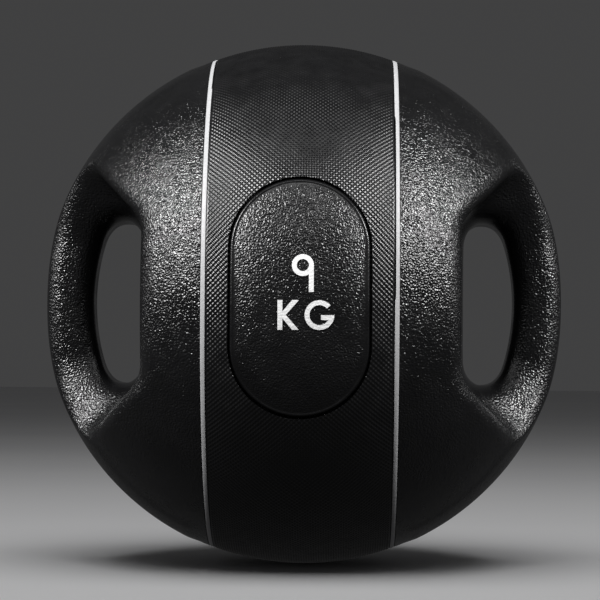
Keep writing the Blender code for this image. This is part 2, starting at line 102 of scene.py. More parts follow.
# knurl of the centre band
KNURL_ROWS = 72  # half periods across the band
KNURL_COLUMNS = 664  # half periods round the ball
KNURL_HEIGHT = 0.00034
KNURL_MARGIN = 1  # plain rows at each edge

FAR = 0.2  # further out than any part of the ball
NEAR = 0.1  # further in than any badge


# ---------------------------------------------------------------- meshes and objects
def mesh_object(name, points, faces):
    """A mesh round the ball's centre as an object of the scene."""
    mesh = bpy.data.meshes.new(name)
    mesh.from_pydata([tuple(p) for p in points], [], [tuple(f) for f in faces])
    mesh.validate()
    made = bpy.data.objects.new(name, mesh)
    bpy.context.scene.collection.objects.link(made)
    return made


def outward(made):
    """Merges what coincides and turns the faces out."""
    bm = bmesh.new()
    bm.from_mesh(made.data)
    bmesh.ops.remove_doubles(bm, verts=bm.verts, dist=1e-7)
    bmesh.ops.dissolve_degenerate(bm, edges=bm.edges, dist=1e-7)
    bmesh.ops.recalc_face_normals(bm, faces=bm.faces)
    bm.to_mesh(made.data)
    bm.free()
    return made


def cut(made, operation, *tools):
    """Applies a Boolean with each tool, which is then removed."""
    for tool in tools:
        step = made.modifiers.new("cut", "BOOLEAN")
        step.operation = operation
        step.solver = "MANIFOLD"
        step.object = tool
        graph = bpy.context.evaluated_depsgraph_get()
        result = bpy.data.meshes.new_from_object(made.evaluated_get(graph))
        made.modifiers.remove(step)
        made.data = result
        result.name = made.name
        bpy.data.objects.remove(tool, do_unlink=True)
    return made


def finish_piece(made, look, nodes, sharp_angle=35):
    """Lifts a piece to the ball's place, shades it and hands it to the frame."""
    made.data.transform(Matrix.Translation(CENTRE))
    made.data.shade_smooth()
    made.data.set_sharp_from_angle(angle=math.radians(sharp_angle))
    made.data.materials.clear()
    made.data.materials.append(look)
    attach(made, "root")
    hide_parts(*nodes)
    return made


def turned(name, profile, steps, axis="X"):
    """A closed solid of revolution from its closed (along, radius) outline. Points on the axis are merged."""
    points, faces = [], []
    for j in range(steps):
        angle = math.tau * j / steps
        c, s = math.cos(angle), math.sin(angle)
        for along, radius in profile:
            spot = (along, radius * c, radius * s) if axis == "X" else (radius * s, along, radius * c)
            points.append(spot)
    count = len(profile)
    for j in range(steps):
        here, there = j * count, (j + 1) % steps * count
        for i in range(count):
            k = (i + 1) % count
            faces.append((here + i, here + k, there + k, there + i))
    return outward(mesh_object(name, points, faces))


def prism(name, outline, start, end):
    """An outline of (x, z) points, pulled along Y."""
    count = len(outline)
    points = [(x, y, z) for y in (start, end) for x, z in outline]
    sides = [(i, (i + 1) % count, (i + 1) % count + count, i + count) for i in range(count)]
    caps = [tuple(range(count)), tuple(range(2 * count - 1, count - 1, -1))]
    return outward(mesh_object(name, points, sides + caps))


def on_ball(x, z, radius, face):
    return x, face * math.sqrt(radius * radius - x * x - z * z), z


def smooth_step(t):
    t = np.clip(t, 0.0, 1.0)
    return t * t * (3 - 2 * t)


# ---------------------------------------------------------------- side covers, as one rounded surface
def smooth_min(a, b, reach):
    """The smaller of two fields, with the crease between them rounded."""
    mix = np.clip(0.5 + 0.5 * (b - a) / reach, 0.0, 1.0)
    return b + (a - b) * mix - reach * mix * (1.0 - mix)


def smooth_max(a, b, reach):
    return -smooth_min(-a, -b, reach)


def channel_field(x, z):
    """Above zero inside the hand channel, as seen from the front."""
    slant = (x - np.abs(z) - CHANNEL_SLANT) / math.sqrt(2)
    return smooth_min(x - CHANNEL_WALL, slant, CHANNEL_BLEND)


def slot_field(x, z):
    """Above zero inside the slot between the grip bar and the channel's wall."""
    sides = np.minimum(x - SLOT_WALL, GRIP_INNER - np.hypot(x, z))
    return smooth_min(sides, SLOT_TOP - np.abs(z), SLOT_END_BLEND)


def grip_outer_radius(angle):
    """The bar's outer side follows the ball, a little proud at the roots, then dives into the cover."""
    to_root = smooth_step(angle / GRIP_ROOT_ANGLE)
    past_root = smooth_step((angle - GRIP_ROOT_ANGLE) / (GRIP_SINK_ANGLE - GRIP_ROOT_ANGLE))
    return GRIP_OUTER + GRIP_ROOT_RISE * to_root - GRIP_SINK * past_root


def grip_field(x, y, z):
    """Below zero in the grip: a web across the channel with the slot through it."""
    angle = np.abs(np.arctan2(z, x))
    outer = np.hypot(x, z) - grip_outer_radius(angle)
    across = smooth_max(outer, slot_field(x, z), GRIP_BLEND)
    start, end = GRIP_FLARE_ANGLES
    half_depth = GRIP_HALF_DEPTH + GRIP_FLARE * smooth_step((angle - start) / (end - start))
    rounded = smooth_max(across, np.abs(y) - half_depth, GRIP_BLEND)
    return np.maximum(rounded, WEB_BACK - x)


def cover_field(x, y, z):
    """Below zero in the right side cover before it is hollowed out."""
    ball = np.sqrt(x * x + y * y + z * z) - RADIUS
    body = smooth_max(ball, channel_field(x, z), RIM_BLEND)
    blended = smooth_min(body, grip_field(x, y, z), ROOT_BLEND)
    return smooth_max(blended, ball - ROOT_BULGE, ROOT_BULGE)


def hollow_field(x, y, z):
    """Below zero in the hollow behind the cover's wall."""
    ball = np.sqrt(x * x + y * y + z * z) - COVER_INSIDE
    return np.maximum(ball, channel_field(x, z) + RADIUS - COVER_INSIDE)


def settled(points, field, rounds=4, reach=1e-5):
    """Moves points along the field's slope until they lie where it is zero."""
    for _ in range(rounds):
        value = field(*points.T)
        slope = np.empty_like(points)
        for axis in range(3):
            ahead, behind = points.copy(), points.copy()
            ahead[:, axis] += reach
            behind[:, axis] -= reach
            slope[:, axis] = (field(*ahead.T) - field(*behind.T)) / (2 * reach)
        steepness = np.maximum((slope**2).sum(1), 0.05)
        points = points - slope * np.clip(value / steepness, -0.001, 0.001)[:, None]
    return points


def surface_net(field, low, high, step):
    """A closed mesh of quads round the space where the field is below zero."""
    axes = [np.arange(a, b + step, step) for a, b in zip(low, high)]
    values = field(*np.meshgrid(*axes, indexing="ij", sparse=True))
    for axis in range(3):
        border = np.moveaxis(values, axis, 0)
        border[[0, -1]] = np.maximum(border[[0, -1]], step / 4)
    inside = values < 0
    corners = [(i, j, k) for i in (0, 1) for j in (0, 1) for k in (0, 1)]
    nx, ny, nz = (n - 1 for n in values.shape)
    count = sum(inside[i : i + nx, j : j + ny, k : k + nz].astype(np.int8) for i, j, k in corners)
    cells = np.argwhere((count > 0) & (count < 8))
    number = np.full((nx, ny, nz), -1)
    number[tuple(cells.T)] = np.arange(len(cells))
    total, crossings = np.zeros((len(cells), 3)), np.zeros(len(cells))
    unit = np.eye(3, dtype=int)
    for axis in range(3):
        for corner in corners:
            if corner[axis]:
                continue
            start = cells + corner
            a, b = values[tuple(start.T)], values[tuple((start + unit[axis]).T)]
            crossed = (a < 0) != (b < 0)
            share = np.where(crossed, a / np.where(crossed, a - b, 1.0), 0.0)
            spot = start + share[:, None] * unit[axis]
            total += spot * crossed[:, None]
            crossings += crossed
    points = settled(total / crossings[:, None] * step + np.array(low), field)
    quads = []
    for axis in range(3):
        before, after = unit[(axis + 1) % 3], unit[(axis + 2) % 3]
        first = np.moveaxis(inside, axis, 0)
        changed = np.moveaxis(first[:-1] != first[1:], 0, axis)
        edges = np.argwhere(changed)
        around = [edges, edges - before, edges - before - after, edges - after]
        quad = np.stack([number[tuple(c.T)] for c in around], 1)
        facing = inside[tuple(edges.T)]
        quad[~facing] = quad[~facing][:, ::-1]
        quads.append(quad)
    return points, np.concatenate(quads)


def core_tunnel(name, side):
    """The curved bore that the grip's core lies in."""
    steps, sides_round = 24, 20
    rings = []
    for i in range(steps + 1):
        angle = CORE_END_ANGLE * (2 * i / steps - 1)
        for j in range(sides_round):
            turn = math.tau * j / sides_round
            radius = CORE_ARC_RADIUS + CORE_TUNNEL * math.cos(turn)
            x, z = radius * math.cos(angle), radius * math.sin(angle)
            rings.append((side * x, CORE_TUNNEL * math.sin(turn), z))
    faces = [tuple(range(sides_round)), tuple(range(steps * sides_round, (steps + 1) * sides_round))]
    for i in range(steps):
        for j in range(sides_round):
            k = (j + 1) % sides_round
            here, there = i * sides_round, (i + 1) * sides_round
            faces.append((here + j, here + k, there + k, there + j))
    return outward(mesh_object(name, rings, faces))


def make_side_covers(look):
    margin = 4 * COVER_GRID
    reach = RADIUS + margin
    joint = STRIPE_PLANE + GAP / 2
    edge = STRIPE_PLANE + STRIPE_HALF_WIDTH + GAP
    floor = RADIUS - STRIPE_DEPTH - GAP
    outer_low, outer_high = (STRIPE_PLANE / 2, -reach, -reach), (reach + margin, reach, reach)
    hollow_low, hollow_high = (STRIPE_PLANE / 3, -reach, -reach), (reach, reach, reach)
    outer = surface_net(cover_field, outer_low, outer_high, COVER_GRID)
    hollow = surface_net(hollow_field, hollow_low, hollow_high, HOLLOW_GRID)
    rebate = [
        (0, 0),
        (joint, 0),
        (joint, math.sqrt(floor**2 - joint**2)),
        (edge, math.sqrt(floor**2 - edge**2)),
        (edge, FAR),
        (0, FAR),
    ]
    for prefix, side in (("left", -1), ("right", 1)):
        flip = np.array((side, 1, 1))
        solid = outward(mesh_object(f"{prefix}_cover", outer[0] * flip, outer[1]))
        inside = outward(mesh_object("hollow", hollow[0] * flip, hollow[1]))
        rim = turned("rim", [(side * x, r) for x, r in rebate], 480)
        cut(solid, "DIFFERENCE", rim, inside, core_tunnel("tunnel", side))
        add_grain_mask(solid)
        finish_piece(solid, look, [f"{prefix}_side_cover"], 50)


def add_grain_mask(solid):
    """How much grain there is: full on the outside and on the grips, little inside the slot."""
    spots = np.empty(len(solid.data.vertices) * 3)
    solid.data.vertices.foreach_get("co", spots)
    x, y, z = spots.reshape(-1, 3).T
    depth = RADIUS - np.sqrt(x * x + y * y + z * z)
    from_slot = -slot_field(np.abs(x), z)
    grain = np.maximum(1 - smooth_step((depth - 0.0016) / 0.0045), smooth_step((from_slot - 0.001) / 0.006))
    mask = solid.data.attributes.new("grain", "FLOAT", "POINT")
    mask.data.foreach_set("value", grain.astype(np.float32))


# ---------------------------------------------------------------- centre band
def make_centre_band(look):
    """A ring whose outer side is a real diamond knurl: every second grid point is a tip."""
    edge = STRIPE_PLANE - STRIPE_HALF_WIDTH - GAP
    joint = STRIPE_PLANE - GAP / 2
    floor = RADIUS - STRIPE_DEPTH - GAP
    first = knurl_first_row()
    rows = [first + (math.pi - 2 * first) * i / KNURL_ROWS for i in range(KNURL_ROWS + 1)]
    step = [(edge, floor), (joint, floor), (joint, COVER_INSIDE)]
    inner = [(joint * (1 - 2 * i / 6), COVER_INSIDE) for i in range(1, 6)]
    under = [(-x, r) for x, r in step] + [(-x, r) for x, r in inner] + step[::-1]
    around = np.arange(KNURL_COLUMNS) * math.tau / KNURL_COLUMNS
    points, lifted = [], []
    for i, row in enumerate(rows):
        depth = 0 if min(i, KNURL_ROWS - i) < KNURL_MARGIN else KNURL_HEIGHT
        tip = (i + np.arange(KNURL_COLUMNS)) % 2 == 0
        radius = RADIUS - np.where(tip, 0, depth)
        if depth == 0:
            radius = radius - KNURL_HEIGHT / 2
        points.append(np.stack([radius * math.cos(row), -radius * math.sin(row) * np.cos(around),
                                radius * math.sin(row) * np.sin(around)], 1))
        lifted.append(tip)
    for x, radius in under:
        ring = math.sqrt(radius**2 - x**2)
        along = np.full(KNURL_COLUMNS, x)
        points.append(np.stack([along, -ring * np.cos(around), ring * np.sin(around)], 1))
    total = len(points)
    faces = []
    for i in range(total):
        here, there = i * KNURL_COLUMNS, (i + 1) % total * KNURL_COLUMNS
        for j in range(KNURL_COLUMNS):
            k = (j + 1) % KNURL_COLUMNS
            a, b, c, d = here + j, here + k, there + k, there + j
            if i >= KNURL_ROWS:
                faces.append((a, b, c, d))
            elif lifted[i][j]:
                faces += [(a, b, d), (b, c, d)]
            else:
                faces += [(a, b, c), (a, c, d)]
    band = outward(mesh_object("knurled_band", np.concatenate(points), faces))
    for face, name in ((-1, "front"), (1, "rear")):
        recess = prism("recess", stadium(-BADGE_GROOVE, 48), *sorted((face * NEAR, face * FAR)))
        cut(recess, "DIFFERENCE", ball("floor", RADIUS - BADGE_RECESS, 256))
        cut(band, "DIFFERENCE", recess)
    hole = (boot_high.x - boot_low.x) / 2 + GAP
    bore = turned("bore", [(NEAR, 0), (FAR, 0), (FAR, hole), (NEAR, hole)], 64, "Y")
    cut(band, "DIFFERENCE", bore)
    return finish_piece(band, look, ["centre_band"], 60)


def ball(name, radius, steps):
    half = [math.pi * i / (steps // 2) for i in range(steps // 2 + 1)]
    return turned(name, [(radius * math.cos(a), radius * math.sin(a)) for a in half], steps)


# ---------------------------------------------------------------- badges
def stadium_frame(arc_steps):
    """Points round a badge: for each, its height on the spine and its outward direction."""
    spine_steps = max(2, round(2 * BADGE_SPINE / (math.pi * BADGE_HALF_WIDTH) * arc_steps))
    frame_points = []
    for side, turn in ((1, 0.0), (-1, math.pi)):
        for i in range(spine_steps):
            height = side * BADGE_SPINE * (2 * i / spine_steps - 1)
            frame_points.append((height, math.cos(turn), 0.0))
        for i in range(arc_steps):
            a = turn + math.pi * i / arc_steps
            frame_points.append((side * BADGE_SPINE, math.cos(a), math.sin(a)))
    return frame_points


def stadium(inset, arc_steps):
    reach = BADGE_HALF_WIDTH - inset
    return [(reach * nx, spine + reach * nz) for spine, nx, nz in stadium_frame(arc_steps)]


EDGE_ROUNDING = 0.0008
BEAD_WIDTH = 0.0019
BEAD_RISE = 0.00032
PILLOW_REACH = 0.009
PILLOW_DROP = 0.0004


def plate_radius(inset):
    """The plate's surface: the ball's curve, eased down towards a thin bead that runs round the rounded edge."""
    corner = max(EDGE_ROUNDING - inset, 0.0)
    drop = EDGE_ROUNDING - math.sqrt(EDGE_ROUNDING**2 - corner**2)
    ease = PILLOW_DROP * (1 - float(smooth_step((inset - BEAD_WIDTH) / PILLOW_REACH)))
    bead = BEAD_RISE * math.sin(math.pi * min(inset / BEAD_WIDTH, 1.0)) ** 2
    return RADIUS - BADGE_SINK + GAP - drop - ease + bead


def make_badge(name, face, look, nodes):
    arc_steps = 96
    rim = [BEAD_WIDTH * (1 - math.cos(math.pi / 2 * i / 14)) for i in range(15)]
    field_steps = 27
    insets = rim + [BEAD_WIDTH + (BADGE_HALF_WIDTH - BEAD_WIDTH) * i / field_steps
                    for i in range(1, field_steps + 1)]
    base = RADIUS - BADGE_RECESS + GAP
    layers = [(inset, plate_radius(inset)) for inset in reversed(insets)]
    layers += [(BADGE_HALF_WIDTH * i / 6, base) for i in range(7)]
    outline = stadium_frame(arc_steps)
    points, faces, grain = [], [], []
    for inset, radius in layers:
        reach = BADGE_HALF_WIDTH - inset
        for spine, nx, nz in outline:
            points.append(on_ball(reach * nx, spine + reach * nz, radius, face))
            grain.append(float(smooth_step((inset - BEAD_WIDTH) / BEAD_WIDTH)))
    count = len(outline)
    for i in range(len(layers) - 1):
        for j in range(count):
            k = (j + 1) % count
            here, there = i * count, (i + 1) * count
            faces.append((here + j, here + k, there + k, there + j))
    plate = mesh_object(name, points, faces)
    mask = plate.data.attributes.new("grain", "FLOAT", "POINT")
    mask.data.foreach_set("value", grain)
    outward(plate)
    if face > 0:
        hole = (boot_high.x - boot_low.x) / 2 + GAP
        cut(plate, "DIFFERENCE", turned("bore", [(NEAR, 0), (FAR, 0), (FAR, hole), (NEAR, hole)], 64, "Y"))
    return finish_piece(plate, look, nodes, 40)


# ---------------------------------------------------------------- stripes
def make_stripe(prefix, side, look):
    """A thin band let into the joint; its inner edge has the small step where two masks met."""
    steps, corner = 720, 0.0003
    half_width = STRIPE_HALF_WIDTH
    step_at, step_size = {"left": (math.radians(56), 0.0004), "right": (math.radians(45), -0.0004)}[prefix]
    profile = []
    for cx, start in ((1, 0), (-1, 1)):
        for i in range(4):
            a = math.pi / 2 * (start + i / 3)
            across = cx * (half_width - corner) + corner * math.cos(a)
            profile.append((across, corner * math.sin(a) - corner))
    profile += [(-half_width, -STRIPE_DEPTH), (half_width, -STRIPE_DEPTH)]
    points, faces = [], []
    for j in range(steps):
        angle = math.tau * j / steps
        above = float(smooth_step((angle - step_at) / math.radians(0.8) + 0.5)) if angle < math.pi else 0.0
        narrower = step_size * above if step_size > 0 else -step_size * (1 - above) * (angle < math.pi)
        wave = 0.00004 * (1 + math.sin(angle * 11 + side))
        for across, drop in profile:
            inner_share = 0.5 - across / (2 * half_width)
            x = STRIPE_PLANE + across + (narrower + wave) * inner_share
            ring = math.sqrt((RADIUS + drop) ** 2 - x * x)
            points.append((side * x, -ring * math.cos(angle), ring * math.sin(angle)))
    count = len(profile)
    for j in range(steps):
        here, there = j * count, (j + 1) % steps * count
        for i in range(count):
            k = (i + 1) % count
            faces.append((here + i, here + k, there + k, there + i))
    stripe = outward(mesh_object(f"{prefix}_stripe", points, faces))
    return finish_piece(stripe, look, [f"{prefix}_stripe_ring"], 40)


# ---------------------------------------------------------------- weight mark
MARK_LOW = RADIUS - BADGE_SINK + GAP - 0.0002
MARK_TOP = MARK_LOW + 0.0006


def mark_shell():
    """The thin curved layer that the figures are cut from."""
    reach, steps = 0.03, 60
    points, faces = [], []
    for radius in (MARK_LOW, MARK_TOP):
        for i in range(steps + 1):
            for j in range(steps + 1):
                x, z = reach * (2 * i / steps - 1), reach * (2 * j / steps - 1)
                points.append(on_ball(x, z, radius, -1))
    row, layer = steps + 1, (steps + 1) ** 2
    for i in range(steps):
        for j in range(steps):
            quad = (i * row + j, (i + 1) * row + j, (i + 1) * row + j + 1, i * row + j + 1)
            faces += [quad, tuple(q + layer for q in reversed(quad))]
    border = [i * row for i in range(steps)] + [steps * row + j for j in range(steps)]
    border += [i * row + steps for i in range(steps, 0, -1)] + list(range(steps, 0, -1))
    for a, b in zip(border, border[1:] + border[:1]):
        faces.append((a, b, b + layer, a + layer))
    return outward(mesh_object("shell", points, faces))


def make_figure(name, outline, spaces, look, node):
    figure = prism(name, outline, -FAR, -NEAR)
    for space in spaces:
        cut(figure, "DIFFERENCE", prism("space", space, -FAR - GAP, GAP - NEAR))
    cut(figure, "INTERSECT", mark_shell())
    return finish_piece(figure, look, [node], 40)


def mark_box(node):
    low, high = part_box(node)
    return low.x, high.x, low.z - CENTRE.z, high.z - CENTRE.z


def corner(x, z, radius, start, end, steps=8):
    """An arc of an outline about (x, z), between two angles in degrees."""
    turns = [math.radians(start + (end - start) * i / steps) for i in range(steps + 1)]
    return [(x + radius * math.cos(a), z + radius * math.sin(a)) for a in turns]


FIGURE_STROKE = 0.0024  # how wide the strokes of the weight mark are


def make_numeral(look):
    """A plain 9: a round bowl with a straight stem down its right side."""
    left, right, low, high = mark_box("weight_numeral")
    bowl = 0.0054
    x, z = (left + right) / 2, high - bowl
    inner = bowl - FIGURE_STROKE
    stem_angle = math.degrees(math.acos(inner / bowl))
    outline = [(x + inner, low), (x + bowl, low)] + corner(x, z, bowl, 0, 360 - stem_angle, 40)
    make_figure("numeral", outline, (corner(x, z, inner, 0, 345, 23),), look, "weight_numeral")


def make_letter_k(look):
    """A plain K: a straight stem and two thin arms that meet on it."""
    left, right, low, high = mark_box("weight_letter_k")
    middle = (low + high) / 2
    right -= 0.0008
    left = right - 0.0105
    stem, arm, join = left + FIGURE_STROKE, 0.0033, 0.0017
    outline = [
        (left, low),
        (stem, low),
        (stem, middle - join),
        (right - arm, low),
        (right, low),
        (stem + arm / 2, middle),
        (right, high),
        (right - arm, high),
        (stem, middle + join),
        (stem, high),
        (left, high),
    ]
    make_figure("letter_k", outline, (), look, "weight_letter_k")


def make_letter_g(look):
    """A plain round G with a level bar at its middle."""
    left, right, low, high = mark_box("weight_letter_g")
    outer = (high - low) / 2
    inner = outer - FIGURE_STROKE
    x, z = left + 0.0008 + outer, (low + high) / 2
    bar_angle = math.degrees(math.asin(FIGURE_STROKE / inner))
    outline = corner(x, z, outer, 42, 360, 40)
    outline += [(x + 0.0008, z), (x + 0.0008, z - FIGURE_STROKE)]
    outline += corner(x, z, inner, 360 - bar_angle, 42, 40)
    make_figure("letter_g", outline, (), look, "weight_letter_g")


# ---------------------------------------------------------------- valve
def make_valve(boot_look, plug_look):
    face, foot = boot_high.y, boot_low.y
    boot_radius = 0.007
    flange_radius = (boot_high.x - boot_low.x) / 2
    bore = (plug_high.x - plug_low.x) / 2 + GAP
    step = plug_low.y - GAP
    flange_top = foot + 0.001
    lip = 0.0008
    boot = [
        (foot, bore - 0.001),
        (foot, flange_radius - 0.0003),
        (foot + 0.0003, flange_radius),
        (flange_top - 0.0003, flange_radius),
        (flange_top, flange_radius - 0.0003),
        (flange_top, boot_radius + 0.0004),
        (flange_top + 0.0004, boot_radius),
    ]
    for i in range(7):
        a = math.pi / 2 * i / 6
        boot.append((face - lip + lip * math.sin(a), boot_radius - lip + lip * math.cos(a)))
    boot += [(face, bore + 0.0022), (face - 0.0006, bore + 0.0016), (face - 0.0006, bore + 0.0004)]
    boot += [(face - 0.0009, bore), (step, bore), (step, bore - 0.001)]
    tube = turned("boot", boot, 96, "Y")
    finish_piece(tube, boot_look, ["valve_boot"], 40)
    top, hole, radius = plug_high.y, 0.0008, bore - GAP
    plug = [
        (plug_low.y, hole),
        (plug_low.y, radius - 0.0003),
        (plug_low.y + 0.0003, radius),
        (top - 0.0004, radius),
        (top - 0.0001, radius - 0.0003),
        (top, radius - 0.0007),
        (top - 0.0001, hole + 0.0007),
        (top - 0.0005, hole + 0.0002),
        (top - 0.0012, hole),
    ]
    finish_piece(turned("plug", plug, 64, "Y"), plug_look, ["valve_plug"], 40)


# ---------------------------------------------------------------- materials
class Look:
    """A material under construction: a Principled shader and the textures that feed it."""

    def __init__(self, name, roughness, specular=0.5):
        self.material = bpy.data.materials.new(name)
        self.material.use_nodes = True
        self.tree = self.material.node_tree
        self.shader = self.tree.nodes["Principled BSDF"]
        self.shader.inputs["Roughness"].default_value = roughness
        self.shader.inputs["Specular IOR Level"].default_value = specular
        self.place = self.node("ShaderNodeTexCoord").outputs["Object"]

    def node(self, kind, settings=None, inputs=None):
        made = self.tree.nodes.new(kind)
        for key, value in (settings or {}).items():
            setattr(made, key, value)
        for key, value in (inputs or {}).items():
            if isinstance(value, bpy.types.NodeSocket):
                self.tree.links.new(value, made.inputs[key])
            else:
                made.inputs[key].default_value = value
        return made

    def noise(self, size, detail=2.0, roughness=0.5, stretch=None):
        place = self.place
        if stretch:
            place = self.node("ShaderNodeMapping", inputs={"Vector": place, "Scale": stretch}).outputs[0]
        inputs = {"Vector": place, "Scale": 1 / size, "Detail": detail, "Roughness": roughness}
        return self.node("ShaderNodeTexNoise", inputs=inputs).outputs["Fac"]

    def cells(self, size, feature="F1", smoothness=None):
        inputs = {"Vector": self.place, "Scale": 1 / size, "Randomness": 0.9}
        if smoothness is not None:
            inputs["Smoothness"] = smoothness
        return self.node("ShaderNodeTexVoronoi", {"feature": feature}, inputs).outputs["Distance"]

    def maths(self, operation, a, b=0.0):
        return self.node("ShaderNodeMath", {"operation": operation}, {0: a, 1: b}).outputs[0]

    def ranged(self, value, low, high, new_low, new_high):
        inputs = {"Value": value, "From Min": low, "From Max": high, "To Min": new_low, "To Max": new_high}
        return self.node("ShaderNodeMapRange", inputs=inputs).outputs["Result"]

    def colours(self, value, stops):
        ramp = self.node("ShaderNodeValToRGB", inputs={"Fac": value})
        elements = ramp.color_ramp.elements
        while len(elements) < len(stops):
            elements.new(0.5)
        for element, (position, colour) in zip(elements, stops):
            element.position = position
            element.color = (*colour, 1.0)
        self.tree.links.new(ramp.outputs["Color"], self.shader.inputs["Base Color"])

    def rough(self, value):
        self.tree.links.new(value, self.shader.inputs["Roughness"])

    def bump(self, height, depth):
        inputs = {"Height": height, "Distance": depth, "Strength": 1.0}
        made = self.node("ShaderNodeBump", inputs=inputs).outputs["Normal"]
        self.tree.links.new(made, self.shader.inputs["Normal"])


def pebbled_rubber(name, tone, roughness, cell, depth):
    """Black rubber with a leathery grain: small domes with creases between them, of uneven height."""
    look = Look(name, roughness)
    domes = look.maths("MULTIPLY", look.maths("POWER", look.cells(cell), 2.0), 0.6)
    uneven = look.maths("MULTIPLY", look.noise(cell * 0.9, 0.3, 0.5), 1.3)
    height = look.maths("SUBTRACT", uneven, domes)
    grain = look.node("ShaderNodeAttribute", {"attribute_name": "grain"}).outputs["Fac"]
    height = look.maths("MULTIPLY", height, look.ranged(grain, 0.0, 1.0, 0.2, 1.0))
    look.bump(height, depth)
    shade = look.noise(0.035, 4.0, 0.6)
    dark, pale = (c * 0.8 for c in tone), (c * 1.35 for c in tone)
    look.colours(shade, ((0.35, tuple(dark)), (0.7, tuple(pale))))
    worn = look.ranged(look.noise(0.012, 3.0), 0.3, 0.7, roughness - 0.05, roughness + 0.07)
    look.rough(worn)
    return look.material


def knurl_first_row():
    """The angle from the X axis at which the band's outer side starts."""
    return math.acos((STRIPE_PLANE - STRIPE_HALF_WIDTH - GAP) / RADIUS)


def knurled_rubber(name, tone, roughness):
    """Black rubber whose round-topped knurl follows the band's own grid of tips."""
    look = Look(name, roughness)
    axes = look.node("ShaderNodeSeparateXYZ", inputs={"Vector": look.place}).outputs
    first = knurl_first_row()
    slope = look.maths("ARCCOSINE", look.maths("DIVIDE", axes["X"], RADIUS - KNURL_HEIGHT / 2))
    rows_per_turn = KNURL_ROWS * math.pi / (math.pi - 2 * first)
    row = look.maths("MULTIPLY", look.maths("SUBTRACT", slope, first), rows_per_turn)
    level = look.maths("SUBTRACT", axes["Z"], CENTRE.z)
    turn = look.maths("ARCTAN2", level, look.maths("MULTIPLY", axes["Y"], -1.0))
    column = look.maths("MULTIPLY", turn, KNURL_COLUMNS / 2)
    lattice = look.maths("MULTIPLY", look.maths("COSINE", row), look.maths("COSINE", column))
    edge = STRIPE_PLANE - STRIPE_HALF_WIDTH - GAP
    margin = look.ranged(look.maths("ABSOLUTE", axes["X"]), edge - 0.0009, edge - 0.0001, 1.0, 0.0)
    height = look.maths("MULTIPLY", lattice, margin)
    fine = look.noise(0.0012, 0.5, 0.5)
    height = look.maths("ADD", height, look.maths("MULTIPLY", fine, 0.15))
    look.bump(height, KNURL_HEIGHT * 0.5)
    shade = look.noise(0.03, 4.0, 0.6)
    dark, pale = (c * 0.8 for c in tone), (c * 1.3 for c in tone)
    look.colours(shade, ((0.35, tuple(dark)), (0.7, tuple(pale))))
    look.rough(look.ranged(look.noise(0.008, 3.0), 0.3, 0.7, roughness - 0.04, roughness + 0.08))
    return look.material


def painted(name, tone, roughness, cell, depth, speck):
    """Pale paint on rubber: a trace of the grain shows through, with small thin spots."""
    look = Look(name, roughness, 0.35)
    pebbles = look.cells(cell, "SMOOTH_F1", 0.4)
    look.bump(look.maths("SUBTRACT", 1.0, pebbles), depth)
    thin = look.noise(speck, 3.0, 0.7)
    dark = tuple(c * 0.72 for c in tone)
    look.colours(thin, ((0.30, dark), (0.48, tone)))
    look.rough(look.ranged(look.noise(0.004, 2.0), 0.3, 0.7, roughness - 0.06, roughness + 0.08))
    return look.material


def filled_rubber(name, tone, roughness):
    """Mineral-filled ballast rubber: coarse, matt, with paler flecks."""
    look = Look(name, roughness, 0.3)
    flecks = look.cells(0.0022)
    look.bump(look.noise(0.0016, 4.0, 0.65), 0.0003)
    pale = tuple(c * 2.4 for c in tone)
    look.colours(flecks, ((0.10, pale), (0.22, tone)))
    return look.material


def wound_thread(name, tone):
    """Nylon thread, wound on in crossing directions."""
    look = Look(name, 0.55, 0.4)
    threads = None
    for turn in ((0.6, 0.2, 0.4), (-0.5, 0.9, 0.1), (0.2, -0.4, 1.1)):
        place = look.node("ShaderNodeMapping", inputs={"Vector": look.place, "Rotation": turn}).outputs[0]
        inputs = {"Vector": place, "Scale": 500.0, "Distortion": 1.5, "Detail": 1.0}
        wave = look.node("ShaderNodeTexWave", inputs=inputs).outputs["Fac"]
        threads = wave if threads is None else look.maths("MAXIMUM", threads, wave)
    look.bump(threads, 0.0003)
    dark = tuple(c * 0.45 for c in tone)
    look.colours(threads, ((0.45, dark), (0.9, tone)))
    return look.material


def smooth_polymer(name, tone, roughness, mottle=1.25):
    """Moulded butyl, nylon or valve rubber: nearly smooth, with a little mottling and fine flow marks."""
    look = Look(name, roughness)
    look.bump(look.noise(0.0012, 3.0, 0.6, (1.0, 3.0, 1.0)), 0.00006)
    look.colours(look.noise(0.010, 3.0), ((0.35, tone), (0.75, tuple(c * mottle for c in tone))))
    look.rough(look.ranged(look.noise(0.005, 2.0), 0.3, 0.7, roughness - 0.05, roughness + 0.06))
    return look.material


def dress_hidden_nodes():
    """The CAD pieces inside the ball keep their shape and get their real materials."""
    ballast = filled_rubber("ballast_rubber", (0.060, 0.045, 0.035), 0.85)
    core = smooth_polymer("core_nylon", (0.60, 0.60, 0.55), 0.45, 1.08)
    looks = {
        "left_ballast_shell": ballast,
        "right_ballast_shell": ballast,
        "winding_layer": wound_thread("nylon_winding", (0.75, 0.72, 0.62)),
        "air_bladder": smooth_polymer("butyl", (0.030, 0.030, 0.034), 0.42),
        "left_grip_core": core,
        "right_grip_core": core,
    }
    for node, look in looks.items():
        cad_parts[node].data.materials.clear()
        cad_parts[node].data.materials.append(look)


# ---------------------------------------------------------------- studio
CAMERA_DISTANCE = 1.43
CAMERA_LENS = 0.158  # on a 36 mm sensor
CAMERA_AZIMUTH = math.radians(0.9)
CAMERA_ELEVATION = math.radians(-1.4)
CAMERA_ROLL = math.radians(0.40)
CAMERA_SIDEWAYS = -4 / 600
CAMERA_UP = 4 / 600
BOX_DISTANCE = 1.7


